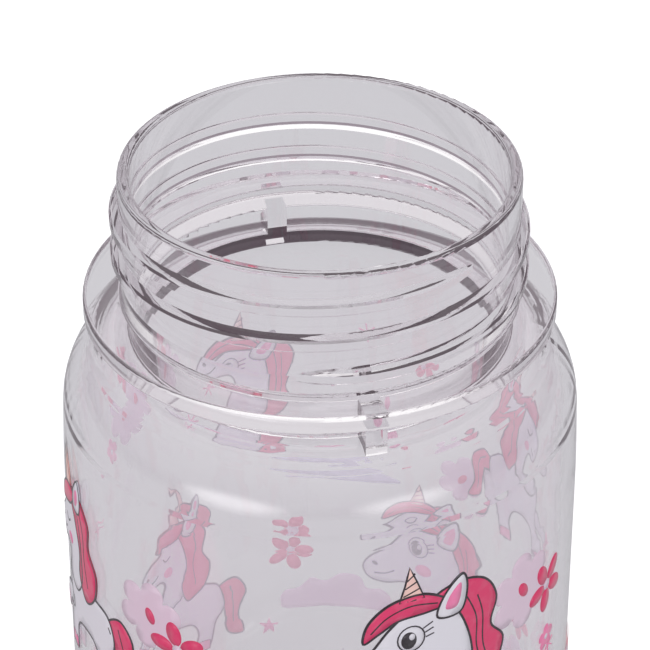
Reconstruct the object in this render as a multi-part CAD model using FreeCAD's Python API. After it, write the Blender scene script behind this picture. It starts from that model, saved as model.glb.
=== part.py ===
import FreeCAD, Part
import math
import os

# A kids water bottle: a clear moulded bottle with a screw-thread neck, standing on a table,
# and its flip-top screw lid, taken off and standing upright beside it. Millimetres, +Z up.
# The origin is the centre of the bottle's base on the table. -Y is the front, where the
# lid's release button is.

Vector = FreeCAD.Vector
UP = Vector(0, 0, 1)
ORIGIN = Vector(0, 0, 0)

# Bottle
BOTTLE_HEIGHT = 150.0
BODY_RADIUS = 36.0
WALL = 1.8
BASE_THICKNESS = 2.4
BASE_PUSH_UP = 3.0
SHOULDER_RADIUS = 35.45       # where the 45 degree shoulder would meet the upper body
SHOULDER_DROP = 30.6          # below the rim
SHOULDER_FILLET = 12.0
LEDGE_RADIUS = 30.2           # where the shoulder would meet the level ledge under the flange
LEDGE_FILLET = 5.0
TAPER_DROP = 43.5             # the body is straight below this and narrows slightly above it
TAPER_FILLET = 300.0

# Neck, measured down from the rim
NECK_RADIUS = 27.04
MOUTH_RADIUS = 25.37
MOUTH_STRAIGHT = 16.0
THROAT_RADIUS = 24.5
THROAT_DROP = 26.6
FLANGE_RADIUS = 32.26
FLANGE_TOP = 18.3
FLANGE_BOTTOM = 21.0
UNDER_FLANGE_RADIUS = 26.2
LEDGE_DROP = 25.3
LUG_WIDTH = 2.9
LUG_OUT = 30.4
LUG_DROP = 25.8
LUG_ANGLE = 14.0              # to the right of the front

# Screw thread: right-hand, one start
PITCH = 5.3
THREAD_HEIGHT = 1.2
THREAD_BASE_HALF = 1.6
THREAD_CREST_HALF = 0.55
NECK_THREAD_DROP = 4.8        # thread centre below the rim, at the front
NECK_THREAD_START = -48.6     # degrees clockwise from the front, seen from above
NECK_THREAD_END = 728.4
RUN_OUT = 24.0                # degrees over which a thread fades into its wall
CAP_THREAD_HEIGHT = 1.2
CAP_THREAD_RISE = 11.1        # thread centre above the lid's bottom edge, at the front
CAP_THREAD_START = -60.0
CAP_THREAD_END = 480.0

# Lid, measured up from its bottom edge and out from its axis
LID_X = -105.0
LID_Y = -80.0
SKIRT_INNER_RADIUS = 28.7
SKIRT_RADIUS = 31.0
COLLAR_RADIUS = 33.0
COLLAR_TOP = 24.0
DECK_BOTTOM = 19.0
DECK_TOP = 21.4
TRAY_RADIUS = 31.2
GASKET_GAP = 0.3
GRIP_RADIUS = 32.9
GRIP_BOTTOM = 0.9
GRIP_TOP = 14.6
GRIP_FLUTES = 60
VENT_Y = 17.0

# Flip cover and its hinge
COVER_BOTTOM = 24.4
COVER_TOP = 43.5
COVER_WALL = 1.8
HINGE_Y = 33.5
HINGE_Z = 26.0
HINGE_PIN_RADIUS = 1.25
RUNNING_GAP = 0.05
KNUCKLE_RADIUS = 3.2
KNUCKLE_INNER = 3.5
KNUCKLE_OUTER = 7.7
LUG_INNER = 8.1
LUG_OUTER = 12.3
HINGE_LUG_RADIUS = 3.4

# Release button in its housing at the front of the lid
HOUSING_HALF_WIDTH = 10.0
HOUSING_FRONT = -39.0
POCKET_HALF_WIDTH = 7.6
POCKET_BACK = -30.3
POCKET_BOTTOM = 10.4
POCKET_TOP = 21.6
BUTTON_TRAVEL = 1.4
BUTTON_BACK = -38.2
BUTTON_GAP = 0.3

# Carry handle, swinging on two pins through the sides of the lid
HANDLE_Z = 20.0
HANDLE_INNER = 34.3
HANDLE_OUTER = 37.9
HANDLE_ARM = 12.0
HANDLE_HALF_HEIGHT = 2.5
HANDLE_EYE_RADIUS = 5.2
HANDLE_PIN_RADIUS = 1.8
HANDLE_PIN_HEAD = 3.2
HANDLE_BOSS_RADIUS = 3.9


def box(low, high):
    """A box between two corners."""
    size = Vector(*high) - Vector(*low)
    return Part.makeBox(size.x, size.y, size.z, Vector(*low))


def rod(radius, start, end):
    """A round bar between two points."""
    along = Vector(*end) - Vector(*start)
    return Part.makeCylinder(radius, along.Length, Vector(*start), along)


def mirrored(shape):
    """The same shape on the other side of the YZ plane."""
    return shape.mirror(ORIGIN, Vector(1, 0, 0))


def both_sides(shape):
    return shape.fuse(mirrored(shape))


def rounded_wire(corners):
    """A closed wire through (radius from axis, height, fillet) corners in the XZ plane."""
    points = [Vector(r, 0, z) for r, z, fillet in corners]
    count = len(points)
    entries = []
    for i, (r, z, fillet) in enumerate(corners):
        corner = points[i]
        back = points[i - 1] - corner
        ahead = points[(i + 1) % count] - corner
        if fillet == 0:
            entries.append((corner, None, corner))
            continue
        half_turn = (math.pi - back.getAngle(ahead)) / 2
        reach = fillet * math.tan(half_turn)
        back.normalize()
        ahead.normalize()
        middle = (back + ahead).normalize()
        to_arc = fillet / math.cos(half_turn) - fillet
        entries.append((corner + back * reach, corner + middle * to_arc, corner + ahead * reach))
    edges = []
    for i, (first, mid, last) in enumerate(entries):
        if mid is not None:
            edges.append(Part.Arc(first, mid, last).toShape())
        following = entries[(i + 1) % count][0]
        if (following - last).Length > 1e-6:
            edges.append(Part.makeLine(last, following))
    return Part.Wire(edges)


def turned(corners):
    """A solid of revolution about the Z axis."""
    face = Part.Face(rounded_wire(corners))
    solid = face.revolve(ORIGIN, UP, 360)
    return Part.Solid(solid.Shells[0]) if solid.ShapeType != "Solid" else solid


def thread_height(angle, start, end, full):
    """Full height along the thread, fading below the wall over the run-out at each end."""
    from_end = min(angle - start, end - angle)
    share = min(1.0, from_end / RUN_OUT)
    return -0.15 + (full + 0.15) * math.sin(share * math.pi / 2)


def thread(wall_radius, outward, start, end, front_height, full, base_half):
    """A helical ridge on a cylinder, lofted through radial sections.

    Angles run clockwise from the front seen from above, and the ridge falls by one pitch
    a turn, which makes a right-hand thread. outward is +1 on a neck and -1 in a cap.
    """
    root = wall_radius - outward * 0.5
    count = int((end - start) / 9) + 1
    sections = []
    for i in range(count + 1):
        angle = start + (end - start) * i / count
        height = thread_height(angle, start, end, full)
        crest = wall_radius + outward * height
        shoulder = wall_radius + outward * max(height - 0.3, height * 0.7 - 0.1)
        z = front_height - PITCH * angle / 360
        profile = [
            (root, -base_half),
            (shoulder, -THREAD_CREST_HALF - 0.3),
            (crest, -THREAD_CREST_HALF),
            (crest, THREAD_CREST_HALF),
            (shoulder, THREAD_CREST_HALF + 0.3),
            (root, base_half),
        ]
        direction = Vector(-math.sin(math.radians(angle)), -math.cos(math.radians(angle)), 0)
        points = [direction * r + UP * (z + dz) for r, dz in profile]
        sections.append(Part.makePolygon(points + points[:1]))
    return Part.makeLoft(sections, True, False)


def at_lid(shape):
    """Moves a shape built about the lid's own axis to where the lid stands."""
    moved = shape.copy()
    moved.translate(Vector(LID_X, LID_Y, 0))
    return moved


def make_bottle():
    """One moulding: base, body, shoulder, flange, neck and thread."""
    rim = BOTTLE_HEIGHT
    inside = BODY_RADIUS - WALL
    corners = [
        (0, BASE_PUSH_UP, 0),
        (22.5, BASE_PUSH_UP, 3),
        (27, 0, 1.5),
        (BODY_RADIUS, 0, 5),
        (BODY_RADIUS, rim - TAPER_DROP, TAPER_FILLET),
        (SHOULDER_RADIUS, rim - SHOULDER_DROP, SHOULDER_FILLET),
        (LEDGE_RADIUS, rim - LEDGE_DROP, LEDGE_FILLET),
        (UNDER_FLANGE_RADIUS, rim - LEDGE_DROP, 0.5),
        (UNDER_FLANGE_RADIUS, rim - FLANGE_BOTTOM, 0.5),
        (FLANGE_RADIUS, rim - FLANGE_BOTTOM, 0.5),
        (FLANGE_RADIUS, rim - FLANGE_TOP, 0.5),
        (NECK_RADIUS, rim - FLANGE_TOP, 0.4),
        (NECK_RADIUS, rim, 0.6),
        (MOUTH_RADIUS, rim, 0.6),
        (MOUTH_RADIUS, rim - MOUTH_STRAIGHT, 0),
        (THROAT_RADIUS, rim - THROAT_DROP, 0.5),
        (LEDGE_RADIUS - 1.1, rim - THROAT_DROP, LEDGE_FILLET - 1.7),
        (SHOULDER_RADIUS - 1.75, rim - SHOULDER_DROP - 0.7, SHOULDER_FILLET - 1.7),
        (inside, rim - TAPER_DROP, TAPER_FILLET),
        (inside, BASE_THICKNESS + 0.4, 4.5),
        (27, BASE_THICKNESS + 0.4, 3),
        (22, BASE_PUSH_UP + BASE_THICKNESS, 3),
        (0, BASE_PUSH_UP + BASE_THICKNESS, 0),
    ]
    bottle = turned(corners)
    ridge = thread(
        NECK_RADIUS, 1, NECK_THREAD_START, NECK_THREAD_END,
        rim - NECK_THREAD_DROP, THREAD_HEIGHT, THREAD_BASE_HALF,
    )
    bottle = bottle.fuse(ridge)
    for turn in (0, 180):
        lug = box(
            (-LUG_WIDTH / 2, -LUG_OUT, rim - LUG_DROP),
            (LUG_WIDTH / 2, -UNDER_FLANGE_RADIUS + 0.3, rim - FLANGE_BOTTOM + 0.6),
        )
        lug.rotate(ORIGIN, UP, LUG_ANGLE + turn)
        bottle = bottle.fuse(lug)
    return bottle


def make_gasket():
    """Soft sealing ring that the rim presses against, free to turn under the deck."""
    low = DECK_BOTTOM - GASKET_GAP - 1.1
    high = DECK_BOTTOM - GASKET_GAP
    return turned([
        (24.75, low, 0.3),
        (28.35, low, 0.3),
        (28.35, high, 0.3),
        (24.75, high, 0.3),
    ])


def make_button_housing():
    """Block at the front of the lid, before its pocket is cut."""
    block = box(
        (-HOUSING_HALF_WIDTH, HOUSING_FRONT, 0),
        (HOUSING_HALF_WIDTH, -SKIRT_RADIUS + 1.6, COLLAR_TOP),
    )
    front_edges = [e for e in block.Edges if abs(e.CenterOfMass.y - HOUSING_FRONT) < 0.01]
    block = block.makeFillet(2.2, front_edges)
    return block.cut(Part.makeCylinder(SKIRT_RADIUS - 0.6, COLLAR_TOP))


def make_cap():
    """Main moulding of the lid: threaded skirt, deck, collar, hinge lugs and button housing."""
    cap = turned([
        (8.05, DECK_BOTTOM, 0),
        (11.4, DECK_BOTTOM, 0),
        (11.4, 15.6, 0.2),
        (13.0, 15.6, 0.4),
        (13.0, DECK_BOTTOM, 0.4),
        (22.8, DECK_BOTTOM, 0.4),
        (22.8, 14.5, 0.4),
        (24.4, 14.5, 0.6),
        (24.4, DECK_BOTTOM, 0.2),
        (SKIRT_INNER_RADIUS, DECK_BOTTOM, 0.2),
        (SKIRT_INNER_RADIUS, 0, 0.6),
        (SKIRT_RADIUS, 0, 0.5),
        (SKIRT_RADIUS, 15.0, 0),
        (COLLAR_RADIUS, 16.4, 0.8),
        (COLLAR_RADIUS, COLLAR_TOP, 0.4),
        (TRAY_RADIUS, COLLAR_TOP, 0.4),
        (TRAY_RADIUS, DECK_TOP, 0.6),
        (8.05, DECK_TOP, 0.2),
    ])
    ridge = thread(
        SKIRT_INNER_RADIUS, -1, CAP_THREAD_START, CAP_THREAD_END,
        CAP_THREAD_RISE, CAP_THREAD_HEIGHT, 1.45,
    )
    cap = cap.fuse(ridge)
    cap = cap.fuse(make_button_housing())

    hinge_lug = rod(HINGE_LUG_RADIUS, (LUG_INNER, HINGE_Y, HINGE_Z), (LUG_OUTER, HINGE_Y, HINGE_Z))
    hinge_web = box(
        (LUG_INNER, TRAY_RADIUS - 1.0, 17.0),
        (LUG_OUTER, HINGE_Y + HINGE_LUG_RADIUS, HINGE_Z),
    )
    web_foot = [e for e in hinge_web.Edges if e.CenterOfMass.y > HINGE_Y and e.CenterOfMass.z < 17.1]
    hinge_web = hinge_web.makeChamfer(2.6, web_foot[:1])
    cap = cap.fuse(both_sides(hinge_lug.fuse(hinge_web)))

    pivot_boss = rod(HANDLE_BOSS_RADIUS, (30.4, 0, HANDLE_Z), (33.9, 0, HANDLE_Z))
    cap = cap.fuse(both_sides(pivot_boss))
    for low_y in (-12.5, 9.0):
        stop = box((30.2, low_y, 14.9), (36.4, low_y + 3.5, 17.2))
        outer_edges = [e for e in stop.Edges if e.CenterOfMass.x > 36.3]
        cap = cap.fuse(both_sides(stop.makeFillet(0.8, outer_edges)))

    pocket = box(
        (-POCKET_HALF_WIDTH, HOUSING_FRONT - 1, POCKET_BOTTOM),
        (POCKET_HALF_WIDTH, POCKET_BACK, POCKET_TOP),
    )
    hook_slot = box((-4.6, -38.0, POCKET_TOP - 0.1), (4.6, -33.2, COLLAR_TOP + 1))
    knuckle_notch = rod(
        KNUCKLE_RADIUS + 0.4,
        (-LUG_INNER + 0.2, HINGE_Y, HINGE_Z),
        (LUG_INNER - 0.2, HINGE_Y, HINGE_Z),
    )
    hinge_hole = rod(HINGE_PIN_RADIUS, (-20, HINGE_Y, HINGE_Z), (20, HINGE_Y, HINGE_Z))
    vent_hole = rod(2.45, (0, VENT_Y, 15), (0, VENT_Y, 25))
    pin_hole = both_sides(rod(HANDLE_PIN_RADIUS, (29.6, 0, HANDLE_Z), (40, 0, HANDLE_Z)))
    for hole in (pocket, hook_slot, knuckle_notch, hinge_hole, vent_hole, pin_hole):
        cap = cap.cut(hole)
    return cap


def make_grip_ring():
    """Soft fluted band moulded round the skirt, open at the front for the button housing."""
    band = turned([
        (SKIRT_RADIUS, GRIP_BOTTOM, 0),
        (GRIP_RADIUS, GRIP_BOTTOM, 0.6),
        (GRIP_RADIUS, GRIP_TOP, 0.6),
        (SKIRT_RADIUS, GRIP_TOP, 0),
    ])
    flutes = []
    for i in range(GRIP_FLUTES):
        angle = math.radians(360 * (i + 0.5) / GRIP_FLUTES)
        x = (GRIP_RADIUS + 0.55) * math.cos(angle)
        y = (GRIP_RADIUS + 0.55) * math.sin(angle)
        flutes.append(rod(1.1, (x, y, GRIP_BOTTOM + 1.6), (x, y, GRIP_TOP - 1.6)))
    band = band.cut(Part.makeCompound(flutes))
    gap = box((-HOUSING_HALF_WIDTH - 0.3, -40, 0), (HOUSING_HALF_WIDTH + 0.3, 0, 20))
    return band.cut(gap)


def make_spout():
    """Soft drinking spout: flange under the deck, bead above it, tapered stem with a lip."""
    return turned([
        (3.2, 17.6, 0.3),
        (11.0, 17.6, 0.3),
        (11.0, DECK_BOTTOM, 0),
        (8.0, DECK_BOTTOM, 0),
        (8.0, DECK_TOP, 0),
        (9.3, DECK_TOP, 0.3),
        (9.3, 23.0, 0.7),
        (6.9, 24.4, 1.2),
        (5.9, 32.4, 1.5),
        (7.0, 33.6, 0.6),
        (6.8, 35.2, 0.7),
        (3.2, 35.2, 0.7),
    ])


def make_spout_clamp():
    """Ring that snaps into the collar under the deck and holds the spout's flange."""
    return turned([
        (6.5, 15.9, 0.3),
        (11.35, 15.9, 0.3),
        (11.35, 17.55, 0),
        (6.5, 17.55, 0.3),
    ])


def make_vent_valve():
    """Small soft valve through the deck that lets air in while drinking."""
    valve = turned([
        (0, 15.8, 0),
        (1.3, 15.8, 0.3),
        (3.0, 18.2, 0.4),
        (3.0, DECK_BOTTOM, 0),
        (2.4, DECK_BOTTOM, 0),
        (2.4, DECK_TOP, 0),
        (3.9, DECK_TOP, 0.2),
        (3.9, 22.3, 0.4),
        (0, 22.3, 0),
    ])
    slit = box((-0.9, -0.1, 15.0), (0.9, 0.1, 17.6))
    valve = valve.cut(slit)
    valve.translate(Vector(0, VENT_Y, 0))
    return valve


def make_cover():
    """Domed flip cover with its front lip and hook, hinge knuckles and a boss for the seal."""
    inner_top = COVER_TOP - COVER_WALL
    cover = turned([
        (0, inner_top, 0),
        (14.0, inner_top, 40),
        (TRAY_RADIUS, 40.0, 7.2),
        (TRAY_RADIUS, COVER_BOTTOM, 0.3),
        (COLLAR_RADIUS, COVER_BOTTOM, 0.4),
        (COLLAR_RADIUS, 41.8, 9.0),
        (14.0, COVER_TOP, 40),
        (0, COVER_TOP, 0),
    ])
    boss = Part.makeCylinder(6.6, 4.3, Vector(0, 0, 37.9))
    boss = boss.cut(Part.makeCylinder(4.6, 4.3, Vector(0, 0, 37.6)))
    cover = cover.fuse(boss)

    lip = box((-8.0, -37.8, COVER_BOTTOM), (8.0, -30.0, 28.6))
    lip_edges = [e for e in lip.Edges if e.CenterOfMass.y < -37.7 and e.CenterOfMass.z > 24.5]
    lip = lip.makeFillet(1.8, lip_edges)
    lip = lip.cut(Part.makeCylinder(TRAY_RADIUS + 0.6, 30))
    tongue = box((-4.0, -36.4, 14.5), (4.0, -34.8, COVER_BOTTOM + 1))
    barb = box((-4.0, -34.9, 14.5), (4.0, -33.6, 16.6))
    barb_foot = [e for e in barb.Edges if e.CenterOfMass.y > -33.7 and e.CenterOfMass.z < 14.6]
    barb = barb.makeChamfer(0.9, barb_foot)
    cover = cover.fuse(lip).fuse(tongue.fuse(barb))

    spring_room = rod(
        KNUCKLE_RADIUS + 0.5,
        (-KNUCKLE_INNER, HINGE_Y, HINGE_Z),
        (KNUCKLE_INNER, HINGE_Y, HINGE_Z),
    )
    lug_room = rod(
        HINGE_LUG_RADIUS + 0.4,
        (LUG_INNER - 0.35, HINGE_Y, HINGE_Z),
        (LUG_OUTER + 0.35, HINGE_Y, HINGE_Z),
    )
    lug_slot = box((LUG_INNER - 0.35, 27.5, 20), (LUG_OUTER + 0.35, 40, HINGE_Z))
    cover = cover.cut(spring_room).cut(both_sides(lug_room.fuse(lug_slot)))
    knuckle = rod(
        KNUCKLE_RADIUS,
        (KNUCKLE_INNER, HINGE_Y, HINGE_Z),
        (KNUCKLE_OUTER, HINGE_Y, HINGE_Z),
    )
    knuckle_web = box((KNUCKLE_INNER, HINGE_Y - 2.6, HINGE_Z), (KNUCKLE_OUTER, HINGE_Y + 1.6, 30.5))
    cover = cover.fuse(both_sides(knuckle.fuse(knuckle_web)))
    hole = rod(HINGE_PIN_RADIUS + RUNNING_GAP, (-20, HINGE_Y, HINGE_Z), (20, HINGE_Y, HINGE_Z))
    return cover.cut(hole)


def make_cover_seal():
    """Soft plug under the cover that closes the spout."""
    return turned([
        (0, 33.9, 0),
        (2.1, 33.9, 0.5),
        (2.4, 35.5, 0),
        (8.5, 35.5, 0.4),
        (8.5, 37.8, 0.4),
        (4.5, 37.8, 0),
        (4.5, 41.0, 0.3),
        (0, 41.0, 0),
    ])


def make_hinge_pin():
    return rod(HINGE_PIN_RADIUS, (-LUG_OUTER, HINGE_Y, HINGE_Z), (LUG_OUTER, HINGE_Y, HINGE_Z))


def coil(mean_radius, wire_radius, length, pitch):
    """A round-wire coil along +Z from the origin."""
    helix = Part.makeHelix(pitch, length, mean_radius)
    start = Vector(mean_radius, 0, 0)
    rise = math.atan2(pitch, 2 * math.pi * mean_radius)
    along = Vector(0, math.cos(rise), math.sin(rise))
    section = Part.Wire(Part.makeCircle(wire_radius, start, along))
    return Part.Wire(helix).makePipeShell([section], True, True)


def make_cover_spring():
    """Torsion coil round the hinge pin, between the cover's two knuckles."""
    wire = 0.3
    mean = 2.05
    half = 2.55
    spring = coil(mean, wire, 2 * half, 0.85)
    spring.rotate(ORIGIN, Vector(0, 1, 0), 90)
    spring.translate(Vector(-half, HINGE_Y, HINGE_Z))
    return spring


def make_button():
    """Push button: front plate, two arms round the hook and a catch bar behind it."""
    front = BUTTON_BACK - 2.2
    plate = box(
        (-POCKET_HALF_WIDTH + BUTTON_GAP, front, POCKET_BOTTOM + BUTTON_GAP),
        (POCKET_HALF_WIDTH - BUTTON_GAP, BUTTON_BACK, POCKET_TOP - BUTTON_GAP),
    )
    depth_edges = [e for e in plate.Edges if abs(e.CenterOfMass.y - (front + BUTTON_BACK) / 2) < 0.01]
    plate = plate.makeFillet(1.6, depth_edges)
    rim_edges = [e for e in plate.Edges if abs(e.CenterOfMass.y - front) < 0.01]
    plate = plate.makeFillet(0.6, rim_edges)
    dish_radius = 30.0
    dish_centre = Vector(0, front + 0.7 - dish_radius, (POCKET_BOTTOM + POCKET_TOP) / 2)
    plate = plate.cut(Part.makeSphere(dish_radius, dish_centre))
    arm = box((5.0, BUTTON_BACK - 0.2, 13.6), (6.8, -32.0, 19.6))
    bar = box((-6.8, -33.3, 16.9), (6.8, -32.0, 19.0))
    nub = rod(0.9, (0, BUTTON_BACK - 0.2, 12.4), (0, BUTTON_BACK + 1.2, 12.4))
    return plate.fuse(both_sides(arm)).fuse(bar).fuse(nub)


def make_button_spring():
    """Compression coil between the button and the back of its pocket."""
    wire = 0.22
    length = POCKET_BACK - BUTTON_BACK - 2 * wire - 0.1
    spring = coil(1.3, wire, length, 1.35)
    spring.rotate(ORIGIN, Vector(1, 0, 0), -90)
    spring.translate(Vector(0, BUTTON_BACK + wire + 0.05, 12.4))
    return spring


def make_handle():
    """U-shaped carry handle, lying back level, with an eye at the end of each arm."""
    low = HANDLE_Z - HANDLE_HALF_HEIGHT
    height = 2 * HANDLE_HALF_HEIGHT
    centre = Vector(0, HANDLE_ARM, low)
    bow = Part.makeCylinder(HANDLE_OUTER, height, centre)
    bow = bow.cut(Part.makeCylinder(HANDLE_INNER, height, centre))
    bow = bow.common(box((-50, HANDLE_ARM, low), (50, 60, low + height)))
    arm = box((HANDLE_INNER, 0, low), (HANDLE_OUTER, HANDLE_ARM, low + height))
    handle = bow.fuse(both_sides(arm)).removeSplitter()
    long_edges = [e for e in handle.Edges if e.Length > 10]
    handle = handle.makeFillet(1.2, long_edges)
    eye = rod(HANDLE_EYE_RADIUS, (HANDLE_INNER, 0, HANDLE_Z), (HANDLE_OUTER, 0, HANDLE_Z))
    eye = eye.makeFillet(0.6, [e for e in eye.Edges if e.Length > 20])
    handle = handle.fuse(both_sides(eye))
    hole = rod(HANDLE_PIN_RADIUS + RUNNING_GAP, (-50, 0, HANDLE_Z), (50, 0, HANDLE_Z))
    return handle.cut(hole)


def make_handle_pins():
    """Two headed pins pressed into the sides of the lid."""
    shaft = rod(HANDLE_PIN_RADIUS, (29.6, 0, HANDLE_Z), (HANDLE_OUTER + 0.3, 0, HANDLE_Z))
    head = rod(HANDLE_PIN_HEAD, (HANDLE_OUTER + 0.2, 0, HANDLE_Z), (HANDLE_OUTER + 1.6, 0, HANDLE_Z))
    outer_edge = [e for e in head.Edges if e.CenterOfMass.x > HANDLE_OUTER + 1.5]
    head = head.makeFillet(0.5, outer_edge)
    pin = shaft.fuse(head)
    return Part.makeCompound([pin, mirrored(pin)])


def main():
    os.makedirs("parts", exist_ok=True)
    nodes = {"bottle_body": make_bottle()}
    lid_makers = {
        "lid_gasket": make_gasket,
        "lid_cap": make_cap,
        "grip_ring": make_grip_ring,
        "spout": make_spout,
        "spout_clamp": make_spout_clamp,
        "vent_valve": make_vent_valve,
        "flip_cover": make_cover,
        "cover_seal": make_cover_seal,
        "hinge_pin": make_hinge_pin,
        "cover_spring": make_cover_spring,
        "release_button": make_button,
        "button_spring": make_button_spring,
        "carry_handle": make_handle,
        "handle_pins": make_handle_pins,
    }
    for name, maker in lid_makers.items():
        nodes[name] = at_lid(maker())
    for name, shape in nodes.items():
        shape.exportStep(f"parts/{name}.step")
        print(name, shape.ShapeType, len(shape.Solids), "valid", shape.isValid(), round(shape.Volume, 1))


main()
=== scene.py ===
import math
import bpy
from mathutils import Matrix, Vector
from mathutils.geometry import delaunay_2d_cdt


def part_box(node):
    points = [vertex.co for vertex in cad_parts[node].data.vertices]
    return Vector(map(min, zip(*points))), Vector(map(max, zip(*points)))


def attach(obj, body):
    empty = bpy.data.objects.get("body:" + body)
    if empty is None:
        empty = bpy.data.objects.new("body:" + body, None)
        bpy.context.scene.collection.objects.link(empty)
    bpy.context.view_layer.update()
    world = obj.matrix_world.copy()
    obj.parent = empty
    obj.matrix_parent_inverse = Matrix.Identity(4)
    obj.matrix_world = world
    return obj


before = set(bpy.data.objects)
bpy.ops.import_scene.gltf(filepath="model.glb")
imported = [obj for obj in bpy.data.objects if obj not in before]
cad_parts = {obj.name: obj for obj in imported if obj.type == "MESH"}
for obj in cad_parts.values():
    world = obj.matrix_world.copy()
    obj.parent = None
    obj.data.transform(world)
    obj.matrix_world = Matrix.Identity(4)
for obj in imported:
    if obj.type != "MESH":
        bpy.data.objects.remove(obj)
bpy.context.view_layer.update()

# A kids water bottle and its lid, in metres. The bottle's axis is Z, its base is on z = 0 and
# its front faces -Y. The lid stands beside it. Motifs are drawn flat in millimetres and then
# wrapped on the bottle.

MM = 0.001
RIM_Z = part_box("bottle_body")[1].z
BODY_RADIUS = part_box("bottle_body")[1].x / MM

# ---------------------------------------------------------------- camera
LENS = 168.95
SENSOR = 36.0
CAMERA_TILT = math.radians(32.884)
CAMERA_DISTANCE = 0.41855
AIM_BELOW_RIM = 0.02486
AXIS_LEFT_OF_CENTRE = 0.00069


def make_camera():
    data = bpy.data.cameras.new("camera")
    data.lens = LENS
    data.sensor_width = SENSOR
    data.clip_start = 0.01
    camera = bpy.data.objects.new("camera", data)
    bpy.context.scene.collection.objects.link(camera)
    aim = Vector((AXIS_LEFT_OF_CENTRE, 0, RIM_Z - AIM_BELOW_RIM))
    back = Vector((0, -math.cos(CAMERA_TILT), math.sin(CAMERA_TILT)))
    camera.location = aim + back * CAMERA_DISTANCE
    camera.rotation_euler = (math.pi / 2 - CAMERA_TILT, 0, 0)
    bpy.context.scene.camera = camera


# ---------------------------------------------------------------- colours and node helpers
def linear(red, green, blue):
    """An sRGB colour, 0 to 255, as the linear one that shaders take."""
    values = []
    for part in (red, green, blue):
        part /= 255
        values.append(part / 12.92 if part <= 0.04045 else ((part + 0.055) / 1.055) ** 2.4)
    return (*values, 1.0)


def blend_colours(first, second, share):
    return tuple(a + (b - a) * share for a, b in zip(first, second))


def new_material(name):
    material = bpy.data.materials.new(name)
    material.use_nodes = True
    tree = material.node_tree
    return material, tree, tree.nodes["Principled BSDF"]


def add(tree, kind, **settings):
    node = tree.nodes.new(kind)
    for key, value in settings.items():
        setattr(node, key, value)
    return node


def noise(tree, scale, detail=2.0):
    """A noise pattern fixed to the object, in features per metre."""
    coordinates = add(tree, "ShaderNodeTexCoord")
    texture = add(tree, "ShaderNodeTexNoise")
    texture.inputs["Scale"].default_value = scale
    texture.inputs["Detail"].default_value = detail
    tree.links.new(coordinates.outputs["Object"], texture.inputs["Vector"])
    return texture.outputs["Fac"]


def vary_colour(tree, shader, first, second, pattern, low=0.35, high=0.65):
    ramp = add(tree, "ShaderNodeValToRGB")
    ramp.color_ramp.elements[0].position = low
    ramp.color_ramp.elements[0].color = first
    ramp.color_ramp.elements[1].position = high
    ramp.color_ramp.elements[1].color = second
    tree.links.new(pattern, ramp.inputs[0])
    tree.links.new(ramp.outputs[0], shader.inputs["Base Color"])


def vary_roughness(tree, shader, low, high, pattern):
    spread = add(tree, "ShaderNodeMapRange")
    spread.inputs["To Min"].default_value = low
    spread.inputs["To Max"].default_value = high
    tree.links.new(pattern, spread.inputs["Value"])
    tree.links.new(spread.outputs[0], shader.inputs["Roughness"])


def bump(tree, shader, pattern, height, strength):
    node = add(tree, "ShaderNodeBump")
    node.inputs["Distance"].default_value = height
    node.inputs["Strength"].default_value = strength
    tree.links.new(pattern, node.inputs["Height"])
    tree.links.new(node.outputs[0], shader.inputs["Normal"])


# ---------------------------------------------------------------- stage
# The camera sees a white floor and sky. The object is lit by, and shows, the toned ones below.
WHITE = (1, 1, 1, 1)
FLOOR_HALF_WIDTH = 3.0
WHITE_FLOOR_GLOW = 0.25
SKY_STRENGTH = 1.15
LOW_SKY_LEVEL = 0.66          # of the way from straight down, 0, to straight up, 1
SOFT_BOX_STEP = 0.002
LIT_POINT = (0, 0, 0.11)      # where the softboxes aim, on the bottle's axis
FLOOR_TONE = (0.42, 0.42, 0.435, 1)
FLOOR_GLOW = (0.208, 0.212, 0.218, 1)
HORIZON_TONE = (0.24, 0.205, 0.235, 1)
LOW_SKY_TONE = (0.56, 0.545, 0.57, 1)
SOFT_STEPS = (1.0, 0.85, 0.7, 0.55)   # sizes of the nested ellipses in a softbox


def make_world():
    world = bpy.data.worlds.new("studio")
    world.use_nodes = True
    tree = world.node_tree
    tree.nodes.clear()
    output = add(tree, "ShaderNodeOutputWorld")
    mix = add(tree, "ShaderNodeMixShader")
    seen = add(tree, "ShaderNodeBackground")
    seen.inputs["Color"].default_value = WHITE
    lit = add(tree, "ShaderNodeBackground")
    lit.inputs["Strength"].default_value = SKY_STRENGTH
    coordinates = add(tree, "ShaderNodeTexCoord")
    split = add(tree, "ShaderNodeSeparateXYZ")
    level = add(tree, "ShaderNodeMath", operation="MULTIPLY_ADD")
    level.inputs[1].default_value = 0.5
    level.inputs[2].default_value = 0.5
    ramp = add(tree, "ShaderNodeValToRGB")
    ramp.color_ramp.interpolation = "EASE"
    ramp.color_ramp.elements[0].position = 0.5
    ramp.color_ramp.elements[0].color = HORIZON_TONE
    ramp.color_ramp.elements[1].position = 1.0
    ramp.color_ramp.elements[1].color = WHITE
    low_sky = ramp.color_ramp.elements.new(LOW_SKY_LEVEL)
    low_sky.color = LOW_SKY_TONE
    path = add(tree, "ShaderNodeLightPath")
    link = tree.links.new
    link(coordinates.outputs["Generated"], split.inputs[0])
    link(split.outputs["Z"], level.inputs[0])
    link(level.outputs[0], ramp.inputs[0])
    link(ramp.outputs[0], lit.inputs["Color"])
    link(path.outputs["Is Camera Ray"], mix.inputs[0])
    link(lit.outputs[0], mix.inputs[1])
    link(seen.outputs[0], mix.inputs[2])
    link(mix.outputs[0], output.inputs["Surface"])
    bpy.context.scene.world = world


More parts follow.
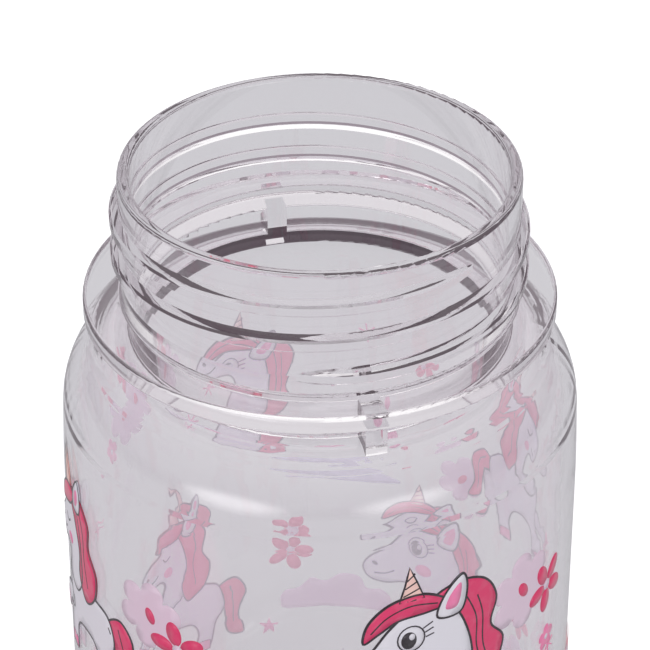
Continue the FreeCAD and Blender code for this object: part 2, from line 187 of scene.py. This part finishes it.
def make_floor():
    half = FLOOR_HALF_WIDTH
    mesh = bpy.data.meshes.new("floor")
    corners = [(-half, -half, 0), (half, -half, 0), (half, half, 0), (-half, half, 0)]
    mesh.from_pydata(corners, [], [(0, 1, 2, 3)])
    floor = bpy.data.objects.new("floor", mesh)
    bpy.context.scene.collection.objects.link(floor)
    material = bpy.data.materials.new("floor")
    material.use_nodes = True
    tree = material.node_tree
    tree.nodes.clear()
    output = add(tree, "ShaderNodeOutputMaterial")
    mix = add(tree, "ShaderNodeMixShader")
    path = add(tree, "ShaderNodeLightPath")
    white = add(tree, "ShaderNodeBsdfDiffuse")
    white.inputs["Color"].default_value = WHITE
    glow = add(tree, "ShaderNodeEmission")
    glow.inputs["Strength"].default_value = WHITE_FLOOR_GLOW
    bright = add(tree, "ShaderNodeAddShader")
    pale = add(tree, "ShaderNodeBsdfDiffuse")
    pale.inputs["Color"].default_value = FLOOR_TONE
    pale_glow = add(tree, "ShaderNodeEmission")
    pale_glow.inputs["Color"].default_value = FLOOR_GLOW
    lit = add(tree, "ShaderNodeAddShader")
    link = tree.links.new
    link(white.outputs[0], bright.inputs[0])
    link(glow.outputs[0], bright.inputs[1])
    link(path.outputs["Is Camera Ray"], mix.inputs[0])
    link(pale.outputs[0], lit.inputs[0])
    link(pale_glow.outputs[0], lit.inputs[1])
    link(lit.outputs[0], mix.inputs[1])
    link(bright.outputs[0], mix.inputs[2])
    link(mix.outputs[0], output.inputs["Surface"])
    mesh.materials.append(material)


def make_soft_box(name, location, aim, size, radiance):
    """A softbox whose light fades towards its edge: nested ellipses, each just in front of the
    last."""
    location = Vector(location)
    towards = (Vector(aim) - location).normalized()
    for i, share in enumerate(SOFT_STEPS):
        data = bpy.data.lights.new(f"{name}_{i}", "AREA")
        data.shape = "ELLIPSE"
        data.size, data.size_y = size[0] * share, size[1] * share
        area = math.pi / 4 * data.size * data.size_y
        data.energy = radiance / len(SOFT_STEPS) * math.pi * area
        lamp = bpy.data.objects.new(data.name, data)
        lamp.location = location + towards * SOFT_BOX_STEP * i
        lamp.rotation_euler = towards.to_track_quat("-Z", "Y").to_euler()
        bpy.context.scene.collection.objects.link(lamp)


# ---------------------------------------------------------------- materials
# Painted glow on the clear plastic: strength of a faint emission over the whole wall
CLEAR_PAINTED_GLOW = 0.015
BACK_INK_PALENESS = 0.55
# Painted glow: emission strength on the inks' inner side, light added in place of light coming
# through the film
BACK_INK_PAINTED_GLOW = 0.42


def clear_plastic():
    """Clear copolyester: the depth of plastic gives its faint mauve-grey edges. The very faint
    emission is a painted glow: a pink light added all over the wall, though the plastic is no lamp."""
    material, tree, shader = new_material("clear_plastic")
    shader.inputs["Base Color"].default_value = (0.99, 0.985, 0.99, 1)
    shader.inputs["IOR"].default_value = 1.54
    shader.inputs["Transmission Weight"].default_value = 1.0
    vary_roughness(tree, shader, 0.0, 0.03, noise(tree, 60))
    # Painted glow: a faint pink emission on every part of the wall, adding light that no lamp gives
    shader.inputs["Emission Color"].default_value = (1.0, 0.76, 0.92, 1)
    shader.inputs["Emission Strength"].default_value = CLEAR_PAINTED_GLOW
    volume = add(tree, "ShaderNodeVolumeAbsorption")
    volume.inputs["Color"].default_value = (0.70, 0.67, 0.69, 1)
    volume.inputs["Density"].default_value = 40.0
    tree.links.new(volume.outputs[0], tree.nodes["Material Output"].inputs["Volume"])
    return material


def moulded_plastic(name, colour, roughness=0.32):
    """Satin moulded plastic: fine grain, slightly uneven gloss and colour."""
    material, tree, shader = new_material(name)
    deeper = blend_colours(colour, (0, 0, 0, 1), 0.035)
    vary_colour(tree, shader, deeper, colour, noise(tree, 260, 3))
    vary_roughness(tree, shader, roughness - 0.06, roughness + 0.10, noise(tree, 400, 4))
    bump(tree, shader, noise(tree, 5200, 3), 0.00005, 0.25)
    shader.inputs["Coat Weight"].default_value = 0.15
    shader.inputs["Coat Roughness"].default_value = 0.25
    shader.inputs["Subsurface Weight"].default_value = 0.08
    shader.inputs["Subsurface Scale"].default_value = 0.001
    return material


def soft_rubber(name, colour, roughness, clearness):
    """Soft moulded rubber: matt, a little cloudy, lighter where light comes through."""
    material, tree, shader = new_material(name)
    deeper = blend_colours(colour, (0.3, 0.3, 0.35, 1), 0.05)
    vary_colour(tree, shader, deeper, colour, noise(tree, 300, 3))
    vary_roughness(tree, shader, roughness - 0.05, roughness + 0.08, noise(tree, 700, 3))
    bump(tree, shader, noise(tree, 9000, 2), 0.00004, 0.3)
    shader.inputs["Subsurface Weight"].default_value = clearness
    shader.inputs["Subsurface Scale"].default_value = 0.003
    shader.inputs["Sheen Weight"].default_value = 0.1
    return material


def steel_wire():
    material, tree, shader = new_material("steel")
    vary_colour(tree, shader, linear(140, 140, 146), linear(186, 186, 190), noise(tree, 3000, 3))
    shader.inputs["Metallic"].default_value = 1.0
    vary_roughness(tree, shader, 0.22, 0.4, noise(tree, 5000, 3))
    return material


INK_COLOURS = {
    "hot": linear(224, 52, 106),
    "rose": linear(240, 130, 175),
    "petal": linear(226, 203, 219),
    "white": linear(228, 226, 233),
    "peach": linear(245, 205, 195),
    "line": linear(38, 28, 36),
    "lilac": linear(205, 207, 226),
}
# Pale tone that the inner side of the inks is blended towards; the painted glow there takes this
# paler colour
INNER_INK_PALE_TONE = linear(233, 229, 240)


def ink(name, colour, inner):
    """Screen-printed ink with a fine grain. Its inner side is paler, and has a painted glow: a
    faint emission in its paler colour that stands in for light coming through the thin film from
    outside."""
    material, tree, shader = new_material(name)
    if inner:
        colour = blend_colours(colour, INNER_INK_PALE_TONE, BACK_INK_PALENESS)
        # Painted glow: the inner side emits its own paler colour, standing in for light through the
        # film
        shader.inputs["Emission Color"].default_value = colour
        shader.inputs["Emission Strength"].default_value = BACK_INK_PAINTED_GLOW
    thin = blend_colours(colour, linear(225, 222, 230), 0.07)
    vary_colour(tree, shader, colour, thin, noise(tree, 700, 3), 0.45, 0.8)
    vary_roughness(tree, shader, 0.28, 0.42, noise(tree, 1500, 2))
    bump(tree, shader, noise(tree, 8000, 2), 0.00001, 0.2)
    shader.inputs["Coat Weight"].default_value = 0.2
    return material


# ---------------------------------------------------------------- flat shapes, in millimetres
def smooth(points, closed=True, steps=6):
    """A Catmull-Rom curve through the points."""
    count = len(points)
    spans = count if closed else count - 1
    curve = []
    for i in range(spans):
        if closed:
            quad = [points[(i + j) % count] for j in (-1, 0, 1, 2)]
        else:
            quad = [points[min(max(i + j, 0), count - 1)] for j in (-1, 0, 1, 2)]
        a, b, c, d = (Vector(p) for p in quad)
        for k in range(steps):
            t = k / steps
            curve.append(0.5 * (
                2 * b + (c - a) * t + (2 * a - 5 * b + 4 * c - d) * t * t
                + (3 * b - a - 3 * c + d) * t ** 3
            ))
    if not closed:
        curve.append(Vector(points[-1]))
    return curve


def oval(centre, across, up, turn=0.0, steps=20):
    points = []
    for i in range(steps):
        angle = 2 * math.pi * i / steps
        point = Vector((across * math.cos(angle), up * math.sin(angle)))
        point.rotate(Matrix.Rotation(math.radians(turn), 2))
        points.append(point + Vector(centre))
    return points


def lobed(centre, radius, lobes, depth, turn=0.0):
    """A flower-like outline with rounded lobes."""
    points = []
    for i in range(lobes * 12):
        angle = 2 * math.pi * i / (lobes * 12)
        reach = radius * (1 - depth + depth * abs(math.cos(angle * lobes / 2)) ** 0.6)
        angle += math.radians(turn)
        points.append(Vector(centre) + Vector((math.cos(angle), math.sin(angle))) * reach)
    return points


def star(centre, radius, points=5):
    outline = []
    for i in range(points * 2):
        angle = math.pi * i / points + math.pi / 2
        reach = radius if i % 2 == 0 else radius * 0.42
        outline.append(Vector(centre) + Vector((math.cos(angle), math.sin(angle))) * reach)
    return outline


# Each motif is a list of parts: ("fill", ink, layer, points) for a closed area, and
# ("open" or "closed", ink, layer, points, width) for a line. Higher layers lie further out.
LINE_WIDTH = 0.30
FINE_WIDTH = 0.20


def fill(colour, layer, points):
    return ("fill", colour, layer, points)


def stroke(layer, points, closed=False, width=LINE_WIDTH, colour="line"):
    return ("closed" if closed else "open", colour, layer, points, width)


def outlined(colour, layer, points, width=LINE_WIDTH):
    return [fill(colour, layer, points), stroke(layer + 1, points, True, width)]


def pony_head():
    """Head and neck in profile, facing left, with a horn and a long mane."""
    back_mane = smooth([
        (1.0, 5.4), (4.6, 7.4), (8.6, 6.2), (10.6, 2.6), (9.8, -1.2), (12.0, -4.4), (11.2, -8.6),
        (12.8, -12.0), (11.4, -15.8), (8.0, -16.6), (7.0, -11.0), (6.0, -5.0), (4.6, 0.6),
    ])
    head = smooth([
        (-1.6, 5.0), (-4.4, 2.6), (-6.8, -0.6), (-9.8, -3.0), (-11.0, -5.4), (-9.8, -7.8),
        (-7.0, -8.2), (-4.0, -7.2), (-1.2, -7.4), (0.2, -10.4), (-0.6, -15.4), (3.4, -16.6),
        (8.2, -15.8), (7.4, -9.0), (6.6, -2.0), (4.4, 3.4), (1.6, 5.4),
    ])
    forelock = smooth([
        (2.6, 5.8), (-0.6, 7.2), (-4.4, 6.4), (-7.0, 3.9), (-7.6, 1.0), (-5.6, 2.3), (-3.2, 3.8),
        (0.4, 4.2), (3.0, 4.6),
    ])
    horn = [Vector(p) for p in ((-3.2, 6.4), (-2.5, 8.8), (-1.9, 11.4), (-0.9, 9.0), (0.0, 6.6))]
    ear = smooth([(1.8, 3.0), (2.8, 6.2), (5.2, 8.4), (5.9, 6.0), (5.0, 2.8)])
    inner_ear = smooth([(2.9, 3.9), (3.5, 5.8), (4.9, 7.2), (5.0, 5.5), (4.4, 3.8)])
    parts = outlined("hot", 0, back_mane) + outlined("white", 2, head)
    for shift in (0, 1):
        strand = [(5.6 + shift * 1.9, 5.2 - shift), (7.4 + shift, 1.0), (7.6 + shift, -3.6),
                  (8.8 + shift, -8.0), (9.0 + shift, -13.6)]
        parts.append(stroke(2, smooth(strand, False), width=FINE_WIDTH))
    parts += outlined("peach", 4, horn, FINE_WIDTH)
    for rise in (7.3, 8.4, 9.5):
        half = (11.6 - rise) * 0.25
        middle = -1.6 - (rise - 6.4) * 0.05
        band = [(middle - half, rise), (middle + half, rise + 0.9)]
        parts.append(stroke(6, [Vector(p) for p in band], width=FINE_WIDTH))
    parts += outlined("hot", 5, forelock)
    parts.append(stroke(7, smooth([(1.8, 5.2), (-1.6, 5.7), (-4.6, 4.6), (-6.7, 2.4)], False),
                        width=FINE_WIDTH))
    parts += outlined("white", 7, ear)
    parts.append(fill("rose", 9, inner_ear))
    parts += outlined("white", 4, oval((-1.6, 0.7), 1.75, 1.9), FINE_WIDTH)
    parts.append(fill("line", 6, oval((-1.9, 0.5), 1.0, 1.3)))
    parts.append(fill("white", 8, oval((-1.5, 1.0), 0.38, 0.5)))
    for i in range(3):
        lash = [(-0.1 + i * 0.2, 1.9 - i * 0.7), (1.2 + i * 0.1, 2.6 - i * 0.9)]
        parts.append(stroke(6, [Vector(p) for p in lash], width=FINE_WIDTH))
    parts.append(fill("rose", 4, oval((-0.4, -3.8), 1.5, 1.15)))
    parts.append(fill("line", 4, oval((-8.9, -4.4), 0.62, 0.36, -30)))
    parts.append(stroke(4, smooth([(-8.9, -6.6), (-7.0, -6.2), (-5.6, -5.2)], False)))
    return parts


def pony():
    """A whole prancing pony, facing left."""
    tail = smooth([
        (8.6, -7.0), (11.6, -5.4), (13.8, -8.0), (13.2, -12.6), (14.4, -16.4), (11.4, -16.0),
        (10.2, -12.0), (9.4, -9.4),
    ])
    body = smooth([
        (-3.2, -3.6), (-4.4, -7.8), (-4.0, -10.8), (-5.2, -14.0), (-5.4, -17.6), (-2.8, -17.8),
        (-2.0, -14.0), (0.0, -12.4), (3.8, -12.6), (5.4, -15.0), (5.0, -18.2), (7.8, -18.2),
        (8.6, -13.6), (9.8, -9.8), (8.6, -6.2), (4.6, -5.0), (1.6, -3.6),
    ])
    lifted = smooth([(-4.2, -9.0), (-7.4, -9.6), (-9.0, -12.6), (-7.2, -13.8), (-5.8, -11.8),
                     (-3.4, -11.6)])
    mane = smooth([
        (-1.2, 8.4), (2.4, 8.6), (5.0, 5.8), (4.6, 2.0), (6.4, -1.4), (5.4, -5.4), (2.6, -7.2),
        (0.8, -4.0), (1.4, 0.0), (0.4, 4.0),
    ])
    head = smooth([
        (-1.6, 7.8), (-4.0, 5.6), (-6.0, 3.6), (-8.6, 1.6), (-8.8, -0.8), (-6.6, -1.6),
        (-4.2, -1.2), (-3.0, -2.6), (-3.6, -6.0), (-0.8, -7.4), (1.6, -4.6), (2.0, 0.6),
        (1.6, 5.0), (0.2, 7.6),
    ])
    forelock = smooth([(0.6, 8.4), (-2.2, 9.0), (-5.0, 7.4), (-6.2, 4.8), (-4.2, 5.2), (-1.0, 6.2)])
    horn = [Vector(p) for p in ((-2.8, 8.6), (-3.0, 11.2), (-3.2, 14.0), (-1.6, 11.4), (-0.6, 8.8))]
    ear = smooth([(0.2, 6.6), (0.6, 9.4), (2.2, 11.2), (3.0, 8.6), (2.2, 6.2)])
    hooves = [
        [(-5.5, -16.3), (-2.7, -16.3), (-2.6, -18.1), (-5.6, -18.1)],
        [(5.0, -16.7), (7.9, -16.7), (8.0, -18.5), (4.8, -18.5)],
        [(-9.1, -11.7), (-7.3, -12.9), (-7.9, -14.3), (-9.7, -13.2)],
    ]
    parts = outlined("hot", 0, tail) + outlined("white", 0, lifted) + outlined("white", 2, body)
    for hoof in hooves:
        parts += outlined("rose", 4, [Vector(p) for p in hoof], FINE_WIDTH)
    parts += outlined("white", 5, head) + outlined("hot", 6, mane)
    parts.append(stroke(8, smooth([(2.2, 7.4), (3.2, 3.6), (3.0, -0.6), (3.6, -4.6)], False),
                        width=FINE_WIDTH))
    parts.append(stroke(2, smooth([(11.0, -7.0), (11.8, -10.4), (12.2, -14.4)], False),
                        width=FINE_WIDTH))
    parts += outlined("peach", 7, horn, FINE_WIDTH)
    parts += outlined("hot", 8, forelock) + outlined("white", 10, ear)
    parts.append(fill("rose", 12, oval((1.5, 8.4), 0.6, 1.4, -15)))
    parts.append(stroke(7, smooth([(-4.4, 3.0), (-3.4, 2.2), (-2.2, 2.9)], False)))
    parts.append(fill("rose", 7, oval((-2.6, -0.1), 1.1, 0.85)))
    parts.append(fill("line", 7, oval((-7.5, 0.8), 0.4, 0.28)))
    parts.append(stroke(7, smooth([(-7.0, -0.4), (-5.8, -0.2), (-5.0, 0.4)], False)))
    return parts


def flower():
    """Five bright petals round a pale centre."""
    parts = []
    for i in range(5):
        turn = 90 + 72 * i
        middle = (2.5 * math.cos(math.radians(turn)), 2.5 * math.sin(math.radians(turn)))
        parts.append(fill("hot", 0, oval(middle, 1.85, 1.15, turn)))
    parts.append(fill("petal", 1, oval((0, 0), 0.8, 0.8)))
    return parts


def blossom():
    """A large pale flower with a bright oval on it."""
    return [
        fill("petal", 0, lobed((0, 0), 6.6, 6, 0.34, 20)),
        fill("hot", 1, oval((0.2, 0.0), 0.9, 1.55, 20)),
    ]


def small_flower():
    return [
        fill("rose", 0, lobed((0, 0), 2.8, 5, 0.45, 18)),
        fill("white", 1, oval((0, 0), 0.6, 0.6)),
    ]


def cloud():
    edge = [
        (-9, -1.8), (-10.4, 0.4), (-8.4, 2.4), (-6.0, 2.2), (-4.2, 4.6), (-0.8, 5.0), (1.6, 3.2),
        (4.6, 4.0), (6.8, 1.8), (9.4, 1.4), (10.2, -1.0), (8.0, -2.4),
    ]
    return [fill("petal", 0, smooth(edge))]


def ribbon():
    edge = [(-12, -0.4), (-6, 1.6), (0, 1.2), (6, 1.9), (12, 0.6), (7, -1.0), (0, -1.6), (-7, -1.4)]
    return [fill("lilac", 0, smooth(edge))]


def sparkle():
    parts = []
    for i in range(3):
        angle = math.radians(60 * i + 15)
        arm = Vector((math.cos(angle), math.sin(angle))) * 1.5
        parts.append(stroke(0, [-arm, arm], width=FINE_WIDTH, colour="rose"))
    return parts


def petal_pair():
    return [
        fill("hot", 0, oval((-1.6, -0.8), 0.9, 1.4, -25)),
        fill("rose", 0, oval((1.7, 0.9), 1.0, 1.5, -10)),
    ]


def little_star():
    return [fill("rose", 0, star((0, 0), 1.9))]


MOTIFS = {
    "head": pony_head(),
    "pony": pony(),
    "flower": flower(),
    "blossom": blossom(),
    "small_flower": small_flower(),
    "cloud": cloud(),
    "ribbon": ribbon(),
    "sparkle": sparkle(),
    "petals": petal_pair(),
    "star": little_star(),
}

# Where each motif is printed: degrees to the right of the front, millimetres below the rim,
# turn in degrees, scale, and whether it is mirrored.
PONIES = [
    ("head", 22.4, 53.2, 0, 1.1, False), ("pony", -69.0, 53.0, 4, 1.05, False),
    ("head", -158.0, 54.0, 14, 0.9, True), ("pony", 118.0, 56.5, -8, 1.0, False),
    ("pony", -140.0, 87.0, 6, 0.95, True), ("head", 151.0, 87.2, 2, 1.0, True),
    ("pony", 88.0, 88.0, -5, 1.0, False), ("pony", -19.0, 86.0, 0, 1.0, True),
    ("head", -96.0, 90.0, -6, 0.95, False), ("head", 44.0, 94.0, 6, 0.95, False),
    ("pony", 14.0, 121.0, 5, 1.0, False), ("head", -52.0, 118.0, -5, 0.95, True),
    ("pony", -121.0, 122.0, -3, 1.0, False), ("head", 178.0, 120.0, 4, 0.95, False),
    ("pony", 118.0, 122.0, 4, 1.0, True), ("head", 71.0, 123.0, -4, 0.9, True),
]
FLOWERS = [
    ("flower", -32.0, 57.2, 12, 1.05, False), ("flower", 59.5, 55.4, 30, 1.05, False),
    ("flower", -120.0, 46.0, -10, 0.9, False), ("flower", 148.0, 57.0, 0, 0.7, False),
    ("flower", -172.0, 89.5, 25, 0.9, False), ("flower", -52.0, 84.0, 8, 1.0, False),
    ("flower", 66.0, 76.0, -14, 0.9, False), ("flower", 117.0, 88.0, 30, 0.9, False),
    ("flower", 12.0, 82.0, 20, 0.9, False), ("flower", -86.0, 119.0, 0, 0.95, False),
    ("flower", -18.0, 108.0, 34, 0.9, False), ("flower", 148.0, 116.0, 14, 0.9, False),
    ("flower", 42.0, 124.0, 6, 0.9, False), ("flower", -148.0, 112.0, 20, 0.9, False),
    ("small_flower", 60.5, 65.0, 0, 0.75, False), ("small_flower", -112.0, 57.0, 12, 0.9, False),
    ("small_flower", -25.0, 64.0, 0, 0.7, False), ("small_flower", 178.0, 62.0, 5, 0.8, False),
    ("small_flower", 98.0, 108.0, 18, 0.9, False), ("small_flower", -68.0, 104.0, 0, 0.9, False),
    ("small_flower", 26.0, 104.0, 10, 0.8, False), ("small_flower", -122.0, 103.0, 5, 0.8, False),
]
PALE_SHAPES = [
    ("blossom", -39.5, 53.4, 0, 0.86, False), ("blossom", 49.5, 52.6, 14, 0.95, False),
    ("blossom", -124.0, 53.0, 30, 0.9, False), ("blossom", 140.0, 72.0, 8, 0.8, False),
    ("cloud", -8.0, 66.0, 0, 0.7, False), ("ribbon", 176.0, 75.0, 3, 0.9, False),
    ("cloud", 176.0, 99.0, 0, 0.9, False), ("blossom", -60.0, 92.0, 10, 0.9, False),
    ("blossom", 3.0, 98.0, 25, 0.9, False), ("cloud", 62.0, 105.0, 0, 0.8, False),
    ("blossom", 118.0, 98.0, 12, 0.9, False), ("cloud", -88.0, 132.0, 0, 0.8, False),
    ("blossom", -154.0, 132.0, 5, 0.8, False), ("blossom", 42.0, 135.0, 15, 0.8, False),
    ("cloud", -20.0, 137.0, 0, 0.75, False), ("blossom", 148.0, 134.0, 20, 0.8, False),
]
ACCENTS = [
    ("petals", -138.0, 49.0, 0, 0.9, False), ("petals", 160.0, 69.0, 20, 0.9, False),
    ("sparkle", -146.0, 62.0, 0, 1.0, False), ("sparkle", 62.0, 67.0, 10, 1.0, False),
    ("sparkle", -104.0, 66.0, 5, 1.1, False), ("sparkle", 168.0, 48.0, 5, 1.0, False),
    ("star", 100.0, 66.0, 0, 0.8, False), ("star", -90.0, 72.0, 10, 0.8, False),
    ("star", 38.0, 76.0, 0, 0.8, False), ("star", -36.0, 104.0, 8, 0.9, False),
    ("star", -166.0, 104.0, 0, 0.9, False), ("star", 90.0, 133.0, 6, 0.9, False),
    ("petals", -34.0, 70.0, 10, 0.9, False), ("petals", 98.0, 74.0, -10, 0.8, False),
    ("petals", -70.0, 136.0, 0, 0.9, False), ("sparkle", 30.0, 70.0, 0, 1.0, False),
    ("sparkle", -84.0, 104.0, 0, 1.0, False), ("sparkle", 134.0, 104.0, 0, 1.0, False),
]

# The bottle's outside, in millimetres: straight below TAPER_DROP, narrowing to the shoulder's
# round.
TAPER_DROP = 43.5
SHOULDER_CENTRE_RADIUS = 23.66
SHOULDER_CENTRE_DROP = 35.5
SHOULDER_ROUND = 12.0
TAPER = 0.0426
INK_GAP = 0.02                # between the wall and the innermost film
INK_LAYER = 0.008
INK_LAYERS = 16               # in each of the two stacks: one more than the highest in use
GRID = 1.5                    # longest step across a film
EDGE_CLEARANCE = GRID / 3


def body_radius(drop):
    if drop >= TAPER_DROP:
        return BODY_RADIUS
    if drop >= SHOULDER_CENTRE_DROP:
        return BODY_RADIUS - TAPER * (TAPER_DROP - drop)
    across = SHOULDER_ROUND ** 2 - (SHOULDER_CENTRE_DROP - drop) ** 2
    return SHOULDER_CENTRE_RADIUS + math.sqrt(across)


def on_bottle(point, lift):
    """A point of the unrolled print, in millimetres right of the front and below the rim."""
    angle = point.x / BODY_RADIUS
    radius = (body_radius(point.y) + lift) * MM
    return (radius * math.sin(angle), -radius * math.cos(angle), RIM_Z - point.y * MM)


class Print:
    """Collects closed films of ink and turns them into one mesh. Prints that overlap start at
    different layers."""

    def __init__(self, first_layer):
        self.first_layer = first_layer
        self.points = []
        self.faces = []
        self.inks = []
        self.outer = []

    def film(self, flat, faces, colour, layer):
        """Puts a part in the stack seen from outside, and in the one behind it in the opposite
        order, because the details of thin ink show from inside as well."""
        layer += self.first_layer
        self.skins(flat, faces, colour, INK_GAP + INK_LAYER * (INK_LAYERS + layer))
        self.skins(flat, faces, colour, INK_GAP + INK_LAYER * (INK_LAYERS - 1 - layer))

    def skins(self, flat, faces, colour, low):
        """A film with an outer and an inner skin, closed along its edge."""
        base = len(self.points)
        count = len(flat)
        self.points += [on_bottle(p, low + INK_LAYER) for p in flat]
        self.points += [on_bottle(p, low) for p in flat]
        edges = {}
        for face in faces:
            self.keep([base + i for i in face], colour, True)
            self.keep([base + count + i for i in reversed(face)], colour, False)
            for i, j in zip(face, face[1:] + face[:1]):
                edges[(i, j)] = True
        for i, j in edges:
            if (j, i) not in edges:
                self.keep([base + j, base + i, base + count + i, base + count + j], colour, True)

    def keep(self, face, colour, outer):
        self.faces.append(face)
        self.inks.append(colour)
        self.outer.append(outer)

    def filled(self, outline, colour, layer):
        """Fills an outline with triangles small enough to follow the bottle's curve."""
        low = Vector((min(p.x for p in outline), min(p.y for p in outline)))
        high = Vector((max(p.x for p in outline), max(p.y for p in outline)))
        inside = []
        for i in range(1, int((high.x - low.x) / GRID) + 1):
            for j in range(1, int((high.y - low.y) / GRID) + 1):
                point = low + Vector((i, j)) * GRID
                if is_inside(point, outline):
                    inside.append(point)
        corners = list(range(len(outline)))
        made = delaunay_2d_cdt(outline + inside, [], [corners], 1, 1e-5)
        faces = [clockwise(list(face), made[0]) for face in made[2]]
        self.film(made[0], faces, colour, layer)

    def line(self, path, closed, width, colour, layer):
        """A thin strip of even width along a path."""
        path = refine(path, closed)
        count = len(path)
        left, right = [], []
        for i, point in enumerate(path):
            before = path[i - 1] if closed or i > 0 else point
            after = path[(i + 1) % count] if closed or i < count - 1 else point
            along = (after - before).normalized()
            side = Vector((-along.y, along.x)) * width / 2
            left.append(point + side)
            right.append(point - side)
        flat = left + right
        faces = []
        for i in range(count if closed else count - 1):
            j = (i + 1) % count
            faces.append(clockwise([i, j, count + j, count + i], flat))
        self.film(flat, faces, colour, layer)

    def motif(self, name, degrees, drop, turn, scale, mirrored):
        centre = Vector((math.radians(degrees) * BODY_RADIUS, drop))
        rotation = Matrix.Rotation(math.radians(turn), 2)

        def placed(point):
            point = Vector((-point.x if mirrored else point.x, point.y)) * scale
            point.rotate(rotation)
            return centre + Vector((point.x, -point.y))

        for part in MOTIFS[name]:
            kind, colour, layer, points = part[:4]
            flat = [placed(p) for p in points]
            if kind == "fill":
                self.filled(flat, colour, layer)
            else:
                self.line(flat, kind == "closed", part[4] * scale, colour, layer)

    def finish(self, name):
        mesh = bpy.data.meshes.new(name)
        mesh.from_pydata(self.points, [], self.faces)
        used = sorted(set(self.inks))
        for colour in used:
            mesh.materials.append(INKS[colour])
            mesh.materials.append(BACK_INKS[colour])
        for polygon, colour, outer in zip(mesh.polygons, self.inks, self.outer):
            polygon.material_index = used.index(colour) * 2 + (0 if outer else 1)
            polygon.use_smooth = len(polygon.vertices) == 3
        piece = bpy.data.objects.new(name, mesh)
        bpy.context.scene.collection.objects.link(piece)
        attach(piece, "bottle")


def is_inside(point, outline):
    """Whether a point is inside a closed outline, and not too near its edge."""
    crossings = False
    for a, b in zip(outline, outline[1:] + outline[:1]):
        if (point - a).length < EDGE_CLEARANCE:
            return False
        if (a.y > point.y) != (b.y > point.y):
            if point.x < a.x + (b.x - a.x) * (point.y - a.y) / (b.y - a.y):
                crossings = not crossings
    return crossings


def clockwise(face, points):
    """The face turned so that its outer side looks away from the bottle."""
    a, b, c = (Vector(points[i]) for i in face[:3])
    area = (b - a).cross(c - a)
    return face if area < 0 else face[::-1]


def refine(path, closed):
    """Adds points so that no step is longer than the grid."""
    points = []
    ends = path[1:] + path[:1] if closed else path[1:]
    for start, end in zip(path, ends):
        steps = max(1, math.ceil((end - start).length / GRID))
        points += [start.lerp(end, k / steps) for k in range(steps)]
    return points if closed else points + [path[-1]]


def make_print(name, placements, first_layer):
    collected = Print(first_layer)
    for placement in placements:
        collected.motif(*placement)
    collected.finish(name)


def dress(node, material):
    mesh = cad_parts[node].data
    mesh.materials.clear()
    mesh.materials.append(material)


make_camera()
make_world()
make_floor()
make_soft_box("left", (-0.59, -0.81, 0.21), LIT_POINT, (0.9, 0.38), 2.8)
make_soft_box("right", (0.59, -0.81, 0.22), LIT_POINT, (0.9, 0.40), 2.2)

dress("bottle_body", clear_plastic())
pink = moulded_plastic("pink_plastic", linear(224, 57, 108))
pale = moulded_plastic("pale_plastic", linear(238, 190, 210))
white = moulded_plastic("white_plastic", linear(238, 236, 240))
soft_pink = soft_rubber("soft_grip", linear(236, 178, 202), 0.6, 0.1)
silicone = soft_rubber("silicone", linear(236, 234, 238), 0.45, 0.5)
steel = steel_wire()
dress("grip_ring", soft_pink)
dress("flip_cover", pale)
for node in ("lid_cap", "carry_handle"):
    dress(node, pink)
for node in ("release_button", "handle_pins", "spout_clamp"):
    dress(node, white)
for node in ("lid_gasket", "spout", "vent_valve", "cover_seal"):
    dress(node, silicone)
for node in ("hinge_pin", "cover_spring", "button_spring"):
    dress(node, steel)

INKS = {key: ink("ink_" + key, colour, False) for key, colour in INK_COLOURS.items()}
# Inner-side inks, which carry the painted glow
BACK_INKS = {key: ink("ink_back_" + key, colour, True) for key, colour in INK_COLOURS.items()}
make_print("print_ponies", PONIES, 3)
make_print("print_flowers", FLOWERS, 2)
make_print("print_pale_shapes", PALE_SHAPES, 0)
make_print("print_accents", ACCENTS, 4)

bpy.context.scene.view_settings.view_transform = "Standard"
